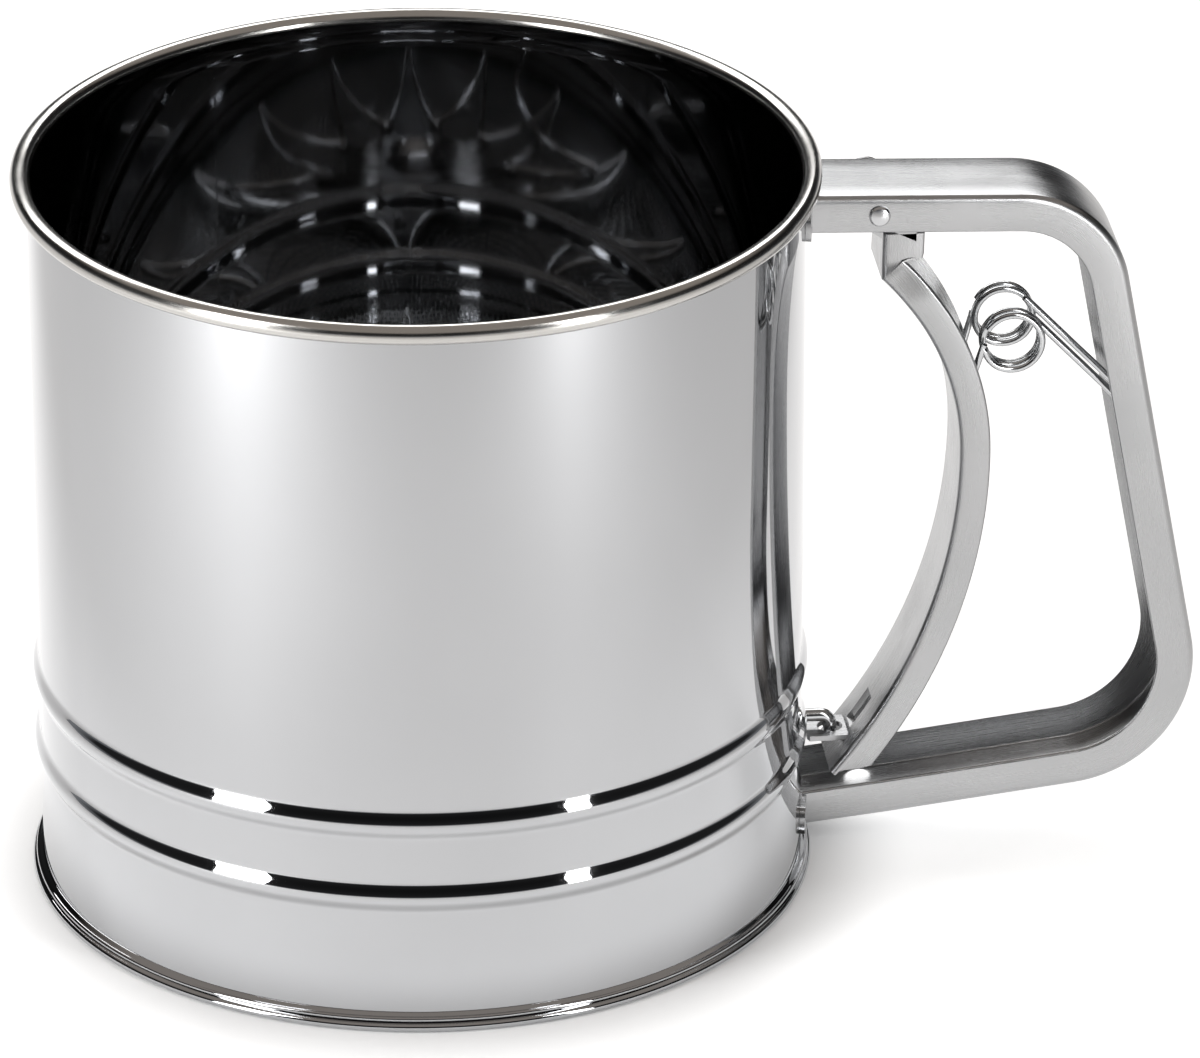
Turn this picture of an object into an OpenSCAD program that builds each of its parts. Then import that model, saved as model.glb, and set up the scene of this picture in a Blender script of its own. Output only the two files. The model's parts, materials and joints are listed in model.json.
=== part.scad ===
// Hand-held flour sifter: a beaded sheet-steel drum with a mesh floor, a
// wire agitator that swings over the mesh, and a squeeze trigger hung in a
// U-channel handle. All sizes in millimetres. The origin is on the drum's
// axis in the plane of its foot ring, +Z is up and +X points to the handle.

/* [Drum] */
// Outer radius of the drum wall
drum_r = 50; // [49.6:0.1:50.4]
// Height over the rolled rim
drum_h = 98.9; // [98.4:0.1:100]
// Sheet thickness of the drum wall
wall_t = 0.6; // [0.5:0.05:0.65]
// Radius of the rolled rim's roll
curl_r = 1.15; // [1.0:0.05:1.2]
// Height of the lower stiffening bead's centre
bead_low_z = 18.7; // [18.5:0.1:19.2]
// Height of the upper stiffening bead's centre
bead_high_z = 29; // [27:0.5:34]
// How far a bead stands out of the wall
bead_out = 0.7; // [0.4:0.05:0.9]

/* [Foot ring] */
// Height of the foot ring
ring_h = 2.4; // [2:0.1:2.8]
// Outer radius of the foot ring
ring_r = 51.35; // [51:0.05:51.5]
// Radius of the opening inside the foot ring
ring_bore_r = 48.9; // [48.5:0.05:49]

/* [Screen] */
// Thickness of the mesh
mesh_t = 0.6; // [0.4:0.05:0.65]
// Radius of the mesh disc
mesh_r = 48.4; // [47.5:0.1:48.5]
// Width of the support bar under the mesh
bar_w = 10; // [8:0.5:14]

/* [Agitator] */
// Radius of the agitator's wire
star_wire_r = 0.75; // [0.6:0.05:0.75]
// Radius reached by the star's outer tips
star_out_r = 44.6; // [40:0.1:45]
// Radius of the star's inner tips
star_in_r = 11; // [10:0.5:13]
// Radius at which the drive link takes hold
lug_r = 26; // [26:1:26]

/* [Handle] */
// Width of the handle channel
handle_w = 13.4; // [13.4:0.1:14]
// Depth of the handle channel's flanges
handle_d = 5; // [4.6:0.1:5.1]
// Sheet thickness of the handle
handle_t = 0.7; // [0.6:0.05:0.75]

/* [Trigger] */
// Width of the trigger's grip
grip_w = 12.5; // [12:0.1:12.8]
// Depth of the grip's flanges
grip_d = 4; // [3.6:0.1:4.2]
// Sheet thickness of the trigger
grip_t = 0.8; // [0.7:0.05:0.85]

/* [Spring] */
// Wire radius of the return spring
spring_wire_r = 0.475; // [0.4:0.025:0.475]

/* [Hidden] */

steel = [0.72, 0.73, 0.74];
dark = [0.55, 0.56, 0.57];

in_r = drum_r - wall_t;
curl_z = drum_h - curl_r;
// beads: an arc 4 mm tall that stands bead_out proud of the wall
bead_rho = (4 + bead_out * bead_out) / (2 * bead_out);
slot_z = 16.6;

hoop_z0 = 10.5;
hoop_h = 3.5;
mesh_z = 11.2;
bar_z = 9.4;
bar_t = 1;
hub_z = 12.8;
hub_t = 1;
// a wire's joints are balls a little fuller than the wire
joint_k = 1.06;
star_z = hub_z + hub_t + star_wire_r * joint_k;
rivet_r = 1.5;
link_r = 0.9;
link_z = 16.6;
link_bend_x = 30;
hook_x = 54.2;

// the handle's outer outline: corners of its three straight runs
top_a = -2.4;
back_a = -79.7;
low_a = -173.4;
corner_a = [89.6, 92.5];
corner_b = [104.7, 9.8];
bend_a_r = 15;
bend_b_r = 17.5;
cut_a = bend_a_r * tan((top_a - back_a) / 2);
cut_b = bend_b_r * tan((back_a - low_a) / 2);
top_len = 41;
back_len = norm(corner_b - corner_a) - cut_a - cut_b;
low_len = 38;
hole_x = 58.5;
hole_z = 7.2;
hole_r = 1.75;

// trigger: pivot, and the two arcs of its grip
pin_x = 59;
pin_z = 91.2;
pin_r = 0.95;
grip_z = 56.5;
up_r = 35;
up_x = 35.1;
up_a = 45.6;
dn_r = 70;
dn_x = 0.1;
dn_a = 40.3;

// return spring: coil centre, rear anchor, turn radius, front tips
coil_x = 76.9;
coil_z = 71.7;
coil_r = 3.8;
anchor_x = 94.1;
anchor_z = 59;
leg_a = 44;
rear_y = 3;
front_y = 5.15;
tip_y = 4.4;
tip = [70.9, 63.9];

module ring(ro, ri, h, z0 = 0, fn = 96) {
  translate([0, 0, z0]) difference() {
    cylinder(r = ro, h = h, $fn = fn);
    translate([0, 0, -1]) cylinder(r = ri, h = h + 2, $fn = fn);
  }
}

// straight wire between two points
module wire(p, q, r, fn = 20) {
  d = q - p;
  l = norm(d);
  translate(p)
    rotate([0, acos(d[2] / l), atan2(d[1], d[0])])
      cylinder(r = r, h = l, $fn = fn);
}

module ball(p, r, fn = 20) {
  translate(p) sphere(r = r, $fn = fn);
}

// ---------------------------------------------------------------- drum
module bead_2d(z, grow) {
  intersection() {
    translate([drum_r + bead_out - bead_rho, z]) circle(r = bead_rho - grow, $fn = 64);
    translate([in_r - 0.01, z - 4]) square([4, 8]);
  }
}

module drum_wall() {
  color(steel) difference() {
    rotate_extrude($fn = 120) difference() {
      union() {
        translate([in_r, 0.6]) square([wall_t, drum_h - 2.4]);
        translate([in_r + curl_r + 0.3, curl_z]) circle(r = curl_r, $fn = 24);
        bead_2d(bead_low_z, 0);
        bead_2d(bead_high_z, 0);
      }
      bead_2d(bead_low_z, wall_t);
      bead_2d(bead_high_z, wall_t);
    }
    // slot that lets the drive link through
    translate([48, -2.3, slot_z - 1.6]) cube([5, 4.6, 3.2]);
  }
}

module foot_ring() {
  color(steel) rotate_extrude($fn = 120) difference() {
    union() {
      translate([ring_bore_r, 0]) square([ring_r - 0.5 - ring_bore_r, ring_h]);
      translate([ring_r - 0.6, 0.6]) circle(r = 0.6, $fn = 16);
      translate([ring_r - 0.6, ring_h - 0.6]) circle(r = 0.6, $fn = 16);
      translate([ring_bore_r + 1, 0.6]) square([ring_r - ring_bore_r - 1, ring_h - 1.2]);
    }
    // crimp groove that takes the wall's lower edge
    translate([in_r - 0.02, 0.58]) square([wall_t + 0.04, ring_h]);
  }
}

// ---------------------------------------------------------------- screen
module screen_hoop() {
  color(steel) union() {
    ring(in_r - 0.04, in_r - 0.74, hoop_h, hoop_z0, 96);
    ring(in_r - 0.2, in_r - 4.4, 0.6, hoop_z0, 96);
  }
}

module screen_mesh() {
  color(dark) ring(mesh_r, rivet_r + 0.02, mesh_t, mesh_z, 96);
}

module support_bar() {
  color(steel) difference() {
    union() {
      intersection() {
        translate([-bar_w / 2, -60, bar_z]) cube([bar_w, 120, bar_t]);
        cylinder(r = in_r - 0.04, h = 40, $fn = 96);
      }
      // ends turned down against the wall
      intersection() {
        ring(in_r - 0.04, in_r - 0.84, 4.6, bar_z - 4, 96);
        translate([-bar_w / 2, -60, 0]) cube([bar_w, 120, 40]);
      }
    }
    translate([0, 0, 5]) cylinder(r = rivet_r + 0.02, h = 10, $fn = 32);
  }
}

module spacer_washer() {
  color(steel) ring(4, rivet_r + 0.02, mesh_z - bar_z - bar_t, bar_z + bar_t, 40);
}

module pivot_rivet() {
  color(steel) union() {
    translate([0, 0, bar_z - 1]) cylinder(r = 3, h = 1, $fn = 40);
    translate([0, 0, bar_z - 0.5]) cylinder(r = rivet_r, h = 7, $fn = 40);
  }
}

module thrust_washer() {
  color(steel) ring(3.8, rivet_r + 0.02, 0.9, mesh_z + mesh_t, 40);
}

module retaining_washer() {
  color(steel) ring(3.8, rivet_r + 0.02, 0.6, hub_z + hub_t + 0.1, 40);
}

// push-on cap with a domed top
module retaining_cap() {
  z0 = hub_z + hub_t + 0.7;
  color(steel) difference() {
    intersection() {
      translate([0, 0, z0 - 1.2]) sphere(r = 3.9, $fn = 40);
      translate([0, 0, z0]) cylinder(r = 3.4, h = 4, $fn = 40);
    }
    translate([0, 0, z0 - 1]) cylinder(r = rivet_r + 0.02, h = 2.55, $fn = 40);
  }
}

// ---------------------------------------------------------------- agitator
module agitator_hub() {
  color(steel) translate([0, 0, hub_z]) difference() {
    union() {
      cylinder(r = 9, h = hub_t, $fn = 64);
      translate([-3, -lug_r, 0]) cube([6, lug_r - 5, hub_t]);
      translate([0, -lug_r, 0]) cylinder(r = 3, h = hub_t, $fn = 40);
      // short arms under the star's inner tips
      for (k = [0:5]) rotate([0, 0, -60 + 60 * k])
        translate([5, -1.6, 0]) cube([star_in_r - 3, 3.2, hub_t]);
    }
    translate([0, 0, -1]) cylinder(r = rivet_r + 0.06, h = 4, $fn = 40);
    translate([0, -lug_r, -1]) cylinder(r = link_r + 0.06, h = 4, $fn = 32);
  }
}

// zigzag ring with six outer and six inner tips
module agitator_wire() {
  color(steel) union() {
    for (k = [0:5]) {
      a = -90 + 60 * k;
      o = [star_out_r * cos(a), star_out_r * sin(a), star_z];
      i = [star_in_r * cos(a + 30), star_in_r * sin(a + 30), star_z];
      j = [star_in_r * cos(a - 30), star_in_r * sin(a - 30), star_z];
      wire(i, o, star_wire_r, 14);
      wire(j, o, star_wire_r, 14);
      ball(o, star_wire_r * joint_k, 14);
      ball(i, star_wire_r * joint_k, 14);
    }
  }
}

// ---------------------------------------------------------------- drive link
module drive_link() {
  a = [0, -lug_r, link_z];
  b = [link_bend_x, 0, link_z];
  c = [hook_x, 0, link_z];
  color(steel) union() {
    translate([0, -lug_r, hub_z - 0.3]) cylinder(r = link_r, h = link_z - hub_z + 0.3, $fn = 24);
    ball(a, link_r * joint_k, 24);
    wire(a, b, link_r, 24);
    ball(b, link_r * joint_k, 24);
    wire(b, c, link_r, 24);
    ball(c, link_r * joint_k, 24);
    translate([hook_x, 0, link_z - 3]) cylinder(r = link_r, h = 3, $fn = 24);
  }
}

// ---------------------------------------------------------------- handle
// points of an arc, n steps from angle a0 to a1
function arc(c, r, a0, a1, n) =
  [for (i = [0:n]) c + r * [cos(a0 + (a1 - a0) * i / n), sin(a0 + (a1 - a0) * i / n)]];
function rev(p) = [for (i = [len(p) - 1:-1:0]) p[i]];
function dir(a) = [cos(a), sin(a)];

// the handle's side outline, o inside its outer face, ends run out by e
function handle_line(o, e) =
  let (end_a = corner_a - dir(top_a) * cut_a, end_b = corner_b - dir(back_a) * cut_b,
       mid_a = end_a + dir(top_a - 90) * bend_a_r, mid_b = end_b + dir(back_a - 90) * bend_b_r,
       out_b = corner_b + dir(low_a) * cut_b)
  concat([end_a - dir(top_a) * (top_len + e) + dir(top_a - 90) * o],
         arc(mid_a, bend_a_r - o, top_a + 90, back_a + 90, 14),
         arc(mid_b, bend_b_r - o, back_a + 90, low_a + 90, 16),
         [out_b + dir(low_a) * (low_len + e) + dir(low_a - 90) * o]);

module band(p, q, w) {
  translate([0, w / 2, 0]) rotate([90, 0, 0]) linear_extrude(w) polygon(concat(p, rev(q)));
}

module channel() {
  difference() {
    band(handle_line(0, 0), handle_line(handle_d, 0), handle_w);
    band(handle_line(handle_t, 1), handle_line(handle_d + 1, 1), handle_w - 2 * handle_t);
  }
}

// feet of one arm, bent sideways out of the flanges and curved to the wall
module feet(z0, h) {
  for (s = [-1, 1]) intersection() {
    ring(drum_r + 0.03 + handle_t, drum_r + 0.03, h, z0, 120);
    translate([40, s > 0 ? handle_w / 2 - 0.4 : -11.2, 0])
      cube([20, 11.2 - handle_w / 2 + 0.4, 110]);
  }
}

module handle() {
  color(steel) difference() {
    union() {
      difference() {
        channel();
        // the arms end in the thickness of the feet
        translate([0, 0, -5]) cylinder(r = drum_r + 0.35, h = 110, $fn = 120);
      }
      feet(89.6, 4.2);
      feet(4.3, 3.9);
    }
    // hole for the trigger's pin
    translate([pin_x, 0, pin_z]) rotate([90, 0, 0])
      cylinder(r = pin_r + 0.01, h = 30, center = true, $fn = 32);
    // round hole low in the far flange, between the web and the lip
    translate([hole_x, handle_w / 2 - handle_t - 0.5, hole_z]) rotate([-90, 0, 0])
      cylinder(r = hole_r, h = handle_t + 1.5, $fn = 40);
  }
}

// ---------------------------------------------------------------- trigger
// the grip's side outline, o behind its finger face, ends run out by e degrees
function grip_line(o, e) =
  concat(arc([up_x, grip_z], up_r + o, up_a + e, 0, 16),
         arc([dn_x, grip_z], dn_r + o, -dn_a / 20, -dn_a - e, 19));

module grip() {
  difference() {
    band(grip_line(0, 0), grip_line(grip_d, 0), grip_w);
    band(grip_line(grip_t, 1), grip_line(grip_d + 1, 1), grip_w - 2 * grip_t);
  }
}

// one side of the neck with the ear round the pin
module neck_2d(x, z) {
  circle_at = [pin_x, pin_z];
  polygon([[x, z - 1.2], [x + 4.4, z - 1.2], [x + 4.4, pin_z - 0.2],
           circle_at + [0.6, 1.2], circle_at + [-1.2, -0.6],
           circle_at + [-0.8, -2.8], [x, pin_z - 3.6]]);
  translate(circle_at) circle(r = 1.6, $fn = 40);
}

module trigger() {
  neck_x = up_x + up_r * cos(up_a);
  neck_z = grip_z + up_r * sin(up_a);
  color(steel) difference() {
    union() {
      grip();
      // narrow neck that runs up into the handle's channel
      translate([neck_x, -5, neck_z - 1]) cube([grip_t, 10, pin_z - neck_z - 2.4]);
      for (s = [-1, 1]) {
        translate([0, s * 5 + 0.4, 0]) rotate([90, 0, 0])
          linear_extrude(0.8) neck_2d(neck_x, neck_z);
        // shoulder between the neck's flange and the grip's
        translate([neck_x + 0.2, s > 0 ? 4.8 : -6.1, neck_z - 1.6]) cube([3.2, 1.3, 1.8]);
      }
      // lug that takes the drive link's hook
      translate([50.9, -3, link_z - 2.4]) cube([5.6, 6, 0.7]);
    }
    translate([pin_x, 0, pin_z]) rotate([90, 0, 0])
      cylinder(r = pin_r + 0.05, h = 20, center = true, $fn = 32);
    // flanges end above the lower arm
    translate([dn_x, 0, grip_z]) rotate([0, dn_a, 0])
      translate([dn_r + grip_t + 0.2, -8, -5]) cube([6, 16, 7.8]);
    // roomy hole for the hook
    translate([hook_x, 0, link_z - 2.7]) cylinder(r = 1.6, h = 1.3, $fn = 32);
    // window over the lug
    translate([52, -1.6, link_z - 1.3]) cube([8, 3.2, 4.2]);
  }
}

// shank with a small peened head and a large head
module trigger_pin() {
  color(steel) union() {
    translate([pin_x, 0, pin_z]) rotate([90, 0, 0])
      cylinder(r = pin_r, h = handle_w + 1, center = true, $fn = 32);
    translate([pin_x, -handle_w / 2 - 0.02, pin_z]) rotate([90, 0, 0])
      cylinder(r = 1.4, h = 0.6, $fn = 32);
    translate([pin_x, handle_w / 2 + 0.02, pin_z]) rotate([-90, 0, 0])
      cylinder(r = 2.4, h = 1.1, $fn = 40);
  }
}

// ---------------------------------------------------------------- spring
// closed turns of the coil, n of them 0.9 mm apart, the first at y
module turns(y, n, s) {
  translate([coil_x, y, coil_z]) rotate([90, 0, 0])
    rotate_extrude($fn = 48) for (k = [0:n - 1])
      translate([coil_r, -s * 0.9 * k]) circle(r = spring_wire_r, $fn = 14);
}

// inner turns, the legs that reach the handle and the bridge between them
module return_spring_rear() {
  tx = coil_x + coil_r * cos(leg_a);
  tz = coil_z + coil_r * sin(leg_a);
  color(steel) union() {
    for (s = [-1, 1]) {
      turns(s * rear_y, 2, s);
      wire([tx, s * rear_y, tz], [anchor_x, s * rear_y, anchor_z], spring_wire_r * 0.95, 16);
      ball([anchor_x, s * rear_y, anchor_z], spring_wire_r * joint_k, 16);
    }
    wire([anchor_x, -rear_y, anchor_z], [anchor_x, rear_y, anchor_z], spring_wire_r, 16);
  }
}

// one outer turn and the leg that bears in the trigger's channel, on side s
module return_spring_leg(s) {
  color(steel) union() {
    turns(s * front_y, 1, s);
    wire([coil_x - coil_r, s * front_y, coil_z], [tip[0], s * tip_y, tip[1]],
         spring_wire_r * 0.95, 16);
    ball([tip[0], s * tip_y, tip[1]], spring_wire_r * joint_k, 16);
  }
}

drum_wall();
foot_ring();
screen_hoop();
screen_mesh();
support_bar();
spacer_washer();
pivot_rivet();
thrust_washer();
agitator_hub();
agitator_wire();
retaining_washer();
retaining_cap();
drive_link();
handle();
trigger();
trigger_pin();
return_spring_rear();
return_spring_leg(-1);  // return_spring_leg_near
return_spring_leg(1);  // return_spring_leg_far
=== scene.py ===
"""Looks of the flour sifter: a polished steel drum, its mesh, agitator, handle, trigger and spring."""

import json
import logging
import math
from collections.abc import Callable, Iterable, Sequence
from dataclasses import dataclass, field, replace
from enum import Enum

import bpy
import bmesh
from mathutils import Euler, Matrix, Vector


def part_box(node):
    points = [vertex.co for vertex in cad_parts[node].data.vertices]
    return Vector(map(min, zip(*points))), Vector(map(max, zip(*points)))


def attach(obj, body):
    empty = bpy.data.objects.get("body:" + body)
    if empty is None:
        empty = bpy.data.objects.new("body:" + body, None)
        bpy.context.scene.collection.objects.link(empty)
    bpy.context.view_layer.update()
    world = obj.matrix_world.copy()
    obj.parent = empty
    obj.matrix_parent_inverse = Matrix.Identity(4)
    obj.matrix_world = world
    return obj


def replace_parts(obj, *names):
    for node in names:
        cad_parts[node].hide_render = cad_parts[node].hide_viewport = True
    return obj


LOG = logging.getLogger("sifter")
MM = 0.001
Point = tuple[float, float, float]
Flat = tuple[float, float]

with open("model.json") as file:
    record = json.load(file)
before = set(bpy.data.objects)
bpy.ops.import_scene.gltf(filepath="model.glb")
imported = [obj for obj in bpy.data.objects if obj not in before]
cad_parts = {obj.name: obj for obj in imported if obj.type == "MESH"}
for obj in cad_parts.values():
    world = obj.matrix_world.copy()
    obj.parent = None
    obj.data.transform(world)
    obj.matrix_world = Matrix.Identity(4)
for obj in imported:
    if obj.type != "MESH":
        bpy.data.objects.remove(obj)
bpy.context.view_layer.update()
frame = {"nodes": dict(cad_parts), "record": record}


class Slot(str, Enum):
    """The record's material slots."""

    SHEET = "polished_sheet"
    STRIP = "satin_strip"
    WIRE = "bright_wire"
    MESH = "mesh_wire"
    SMALL = "small_hardware"


class Body(str, Enum):
    """The record's moving groups."""

    SHELL = "shell"
    AGITATOR = "agitator"
    LINK = "link"
    TRIGGER = "trigger"
    SPRING_REAR = "spring_rear"
    SPRING_FRONT = "spring_front"


class Coord(str, Enum):
    """Where a finish takes its pattern's coordinates from."""

    UV = "UV"
    OBJECT = "Object"


class Cut(Enum):
    """Shapes that holes are cut with."""

    BOX = "box"
    CYLINDER = "cylinder"


# What marks a shader node's setting as the value of an input.
INPUT = "in:"
# Octaves of noise in a finish's grain, blotches and waves.
GRAIN_OCTAVES, BLOTCH_OCTAVES, WAVE_OCTAVES = 3.0, 4.0, 1.0
# How much broader a blotch is than it is long.
BLOTCH_BREADTH = 1.7
# Sum of grain and blotch at which a finish is smoothest and roughest.
NOISE_LOW, NOISE_HIGH = 0.6, 1.4
# Most of a side that one fillet may take.
FILLET_SHARE = 0.48
# Width of a wire's flat end against the wire, and how far the end stands out in wire radii.
END_WIDTH, END_PROUD = 0.72, 0.001
# Least inside radius of a fold in sheet, in mm.
SHARPEST_FOLD = 0.15
# Steps round a channel's lips, the outside of its folds and their inside.
LIP_STEPS, FOLD_STEPS, INSIDE_STEPS = 4, 8, 6
# Sides of a round hole.
HOLE_SIDES = 48
# Edges sharper than this stay hard on wire.
WIRE_SHARP_DEG = 60
# How far the CAD's wire joints stand out past the wire, in mm.
JOINT_PROUD = 0.05
# Stands in for zero under a fraction line.
TINY = 1e-6


# ------------------------------------------------------------------ finishes
def linear(hex_colour: str) -> tuple[float, float, float, float]:
    """Turns an sRGB hex colour into linear RGBA.

    Args:
        hex_colour: six hex digits.

    Returns:
        Linear red, green, blue and alpha.
    """
    parts = [int(hex_colour[i:i + 2], 16) / 255 for i in (0, 2, 4)]
    rgb = [c / 12.92 if c <= 0.04045 else ((c + 0.055) / 1.055) ** 2.4 for c in parts]
    return (*rgb, 1.0)


def add_node(tree: bpy.types.NodeTree, kind: str, settings: dict | None = None,
             links: dict | None = None) -> bpy.types.Node:
    """Adds a shader node with its settings and incoming links.

    Args:
        tree: node tree to add to.
        kind: node type name.
        settings: attribute or input to value; an input's name or number has INPUT before it.
        links: input name or number to an output socket.

    Returns:
        The new node.
    """
    made = tree.nodes.new(kind)

    def entry(key: str) -> bpy.types.NodeSocket:
        """The input with a name or number."""
        return made.inputs[int(key) if key.isdigit() else key]

    for key, value in (settings or {}).items():
        if key.startswith(INPUT):
            entry(key.removeprefix(INPUT)).default_value = value
        else:
            setattr(made, key, value)
    for key, socket in (links or {}).items():
        tree.links.new(socket, entry(key))
    return made


@dataclass(frozen=True)
class SteelFinish:
    """Stainless steel as one surface process leaves it.

    The grain is a noise stretched along the process's lines; soft blotches of
    roughness stand for handling and uneven buffing; the waves are the gentle
    out-of-flatness of thin rolled sheet.
    """

    slot: Slot
    colour: str
    dark_colour: str
    roughness: float
    roughness_spread: float
    grain_mm: Flat
    grain_depth_mm: float
    blotch_mm: float
    wave_mm: Flat = (30.0, 30.0)
    wave_depth_mm: float = 0.0
    anisotropic: float = 0.0
    coord: Coord = Coord.UV
    suffix: str = ""

    def build(self) -> bpy.types.Material:
        """Makes the material.

        Returns:
            The finished material, named after its slot.
        """
        mat = bpy.data.materials.new(f"{self.slot.value}{self.suffix}_{self.coord.value.lower()}")
        mat.use_nodes = True
        tree = mat.node_tree
        shader = tree.nodes["Principled BSDF"]
        where = add_node(tree, "ShaderNodeTexCoord").outputs[self.coord.value]
        grain = self._noise(tree, where, self.grain_mm, GRAIN_OCTAVES)
        blotch_size = (self.blotch_mm, self.blotch_mm * BLOTCH_BREADTH)
        blotch = self._noise(tree, where, blotch_size, BLOTCH_OCTAVES)
        wave = self._noise(tree, where, self.wave_mm, WAVE_OCTAVES)
        tint = add_node(
            tree, "ShaderNodeMix",
            {"data_type": "RGBA", "in:6": linear(self.dark_colour), "in:7": linear(self.colour)},
            {"0": blotch})
        low = self.roughness - self.roughness_spread
        high = self.roughness + self.roughness_spread
        mixed = add_node(tree, "ShaderNodeMath", {"operation": "ADD"}, {"0": grain, "1": blotch})
        rough = add_node(
            tree, "ShaderNodeMapRange",
            {"in:From Min": NOISE_LOW, "in:From Max": NOISE_HIGH, "in:To Min": low,
             "in:To Max": high},
            {"Value": mixed.outputs[0]})
        fine = add_node(tree, "ShaderNodeBump",
                        {"in:Strength": 1.0, "in:Distance": self.grain_depth_mm * MM},
                        {"Height": grain})
        soft = add_node(tree, "ShaderNodeBump",
                        {"in:Strength": 1.0, "in:Distance": self.wave_depth_mm * MM},
                        {"Height": wave, "Normal": fine.outputs[0]})
        tree.links.new(tint.outputs[2], shader.inputs["Base Color"])
        tree.links.new(rough.outputs[0], shader.inputs["Roughness"])
        tree.links.new(soft.outputs[0], shader.inputs["Normal"])
        shader.inputs["Metallic"].default_value = 1.0
        shader.inputs["Anisotropic"].default_value = self.anisotropic
        return mat

    @staticmethod
    def _noise(tree: bpy.types.NodeTree, where: bpy.types.NodeSocket, size_mm: Flat,
               detail: float) -> bpy.types.NodeSocket:
        """Adds a noise whose cells are size_mm long and wide.

        Args:
            tree: node tree to add to.
            where: coordinate socket, in metres.
            size_mm: cell size along the first axis and along the others.
            detail: noise octaves.

        Returns:
            The noise's value socket.
        """
        scale = (1 / (size_mm[0] * MM), 1 / (size_mm[1] * MM), 1 / (size_mm[1] * MM))
        mapped = add_node(tree, "ShaderNodeMapping", {"in:Scale": scale}, {"Vector": where})
        made = add_node(tree, "ShaderNodeTexNoise", {"in:Scale": 1.0, "in:Detail": detail},
                        {"Vector": mapped.outputs[0]})
        return made.outputs[0]


# Cold-rolled stainless buffed to a mirror: crisp reflections that waver with the sheet.
POLISHED = SteelFinish(Slot.SHEET, "bebfc1", "b6b7b9", 0.035, 0.015, (3.0, 0.35), 0.0002, 26,
                       (16.0, 90.0), 0.014)
# The same sheet where it is rolled into the rim: the bend stretches it and dulls the mirror.
ROLLED = SteelFinish(Slot.SHEET, "cbc9c6", "bfbdb9", 0.19, 0.05, (3.0, 0.35), 0.001, 12,
                     suffix="_rolled")
# Strip brushed along its length with a fine belt: satin, streaked highlights along the strip.
SATIN = SteelFinish(Slot.STRIP, "b7b7b8", "a9aaab", 0.27, 0.07, (9.0, 0.16), 0.004, 14,
                    (25.0, 12.0), 0.02, 0.35)
# Drawn spring wire: bright, with faint die lines along it.
DRAWN = SteelFinish(Slot.WIRE, "d0d1d2", "bcbec0", 0.16, 0.05, (6.0, 0.12), 0.0015, 5)
# Fine woven wire, pickled and dull.
WOVEN = SteelFinish(Slot.MESH, "a6a8aa", "8e9092", 0.34, 0.08, (2.0, 0.2), 0.001, 3)
# Small turned and pressed hardware, tumbled bright.
TUMBLED = SteelFinish(Slot.SMALL, "d4d4d5", "bdbec0", 0.22, 0.07, (0.5, 0.5), 0.004, 2)
FINISHES: dict[Slot, SteelFinish] = {f.slot: f for f in (POLISHED, SATIN, DRAWN, WOVEN, TUMBLED)}
_MADE: dict[tuple[Slot, Coord], bpy.types.Material] = {}


def material(slot: Slot, coord: Coord = Coord.UV) -> bpy.types.Material:
    """Gives a slot's material, made once.

    Args:
        slot: the record's slot.
        coord: coordinates the mesh offers.

    Returns:
        The material.
    """
    if (slot, coord) not in _MADE:
        _MADE[slot, coord] = replace(FINISHES[slot], coord=coord).build()
    return _MADE[slot, coord]


# ------------------------------------------------------------------ mesh tools
@dataclass
class Shape:
    """Vertices in millimetres, faces, and a surface coordinate for each vertex."""

    verts: list[Point] = field(default_factory=list)
    faces: list[tuple[int, ...]] = field(default_factory=list)
    uvs: list[Flat] = field(default_factory=list)

    def grid(self, rows: Sequence[Sequence[Point]], uv: Sequence[Sequence[Flat]],
             close_u: bool = False, close_v: bool = False, caps: bool = False) -> None:
        """Adds a grid of quads.

        Args:
            rows: points, row by row.
            uv: surface coordinates in metres, matching rows.
            close_u: join each row's end to its start.
            close_v: join the last row to the first.
            caps: close the first and last row with a face.
        """
        base, high, wide = len(self.verts), len(rows), len(rows[0])
        for row, uv_row in zip(rows, uv):
            self.verts.extend(row)
            self.uvs.extend(uv_row)
        for i in range(high if close_v else high - 1):
            here, above = base + i * wide, base + (i + 1) % high * wide
            for j in range(wide if close_u else wide - 1):
                beside = (j + 1) % wide
                self.faces.append((here + j, above + j, above + beside, here + beside))
        if caps:
            last = base + (high - 1) * wide
            self.faces.append(tuple(range(base, base + wide)))
            self.faces.append(tuple(reversed(range(last, last + wide))))

    def build(self, name: str, slot: Slot, body: Body, sharp_deg: float = 40) -> bpy.types.Object:
        """Turns the shape into an object that rides on a body.

        Args:
            name: object name.
            slot: material slot.
            body: group the piece moves with.
            sharp_deg: edges sharper than this stay hard.

        Returns:
            The object.
        """
        mesh = bpy.data.meshes.new(name)
        mesh.from_pydata([[c * MM for c in v] for v in self.verts], [], self.faces)
        layer = mesh.uv_layers.new(name="surface")
        for loop in mesh.loops:
            layer.data[loop.index].uv = self.uvs[loop.vertex_index]
        bm = bmesh.new()
        bm.from_mesh(mesh)
        bmesh.ops.recalc_face_normals(bm, faces=bm.faces)
        bm.to_mesh(mesh)
        bm.free()
        mesh.shade_smooth()
        mesh.set_sharp_from_angle(angle=math.radians(sharp_deg))
        made = bpy.data.objects.new(name, mesh)
        bpy.context.scene.collection.objects.link(made)
        mesh.materials.append(material(slot))
        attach(made, body.value)
        LOG.info("%s: %d faces", name, len(mesh.polygons))
        return made


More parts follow.
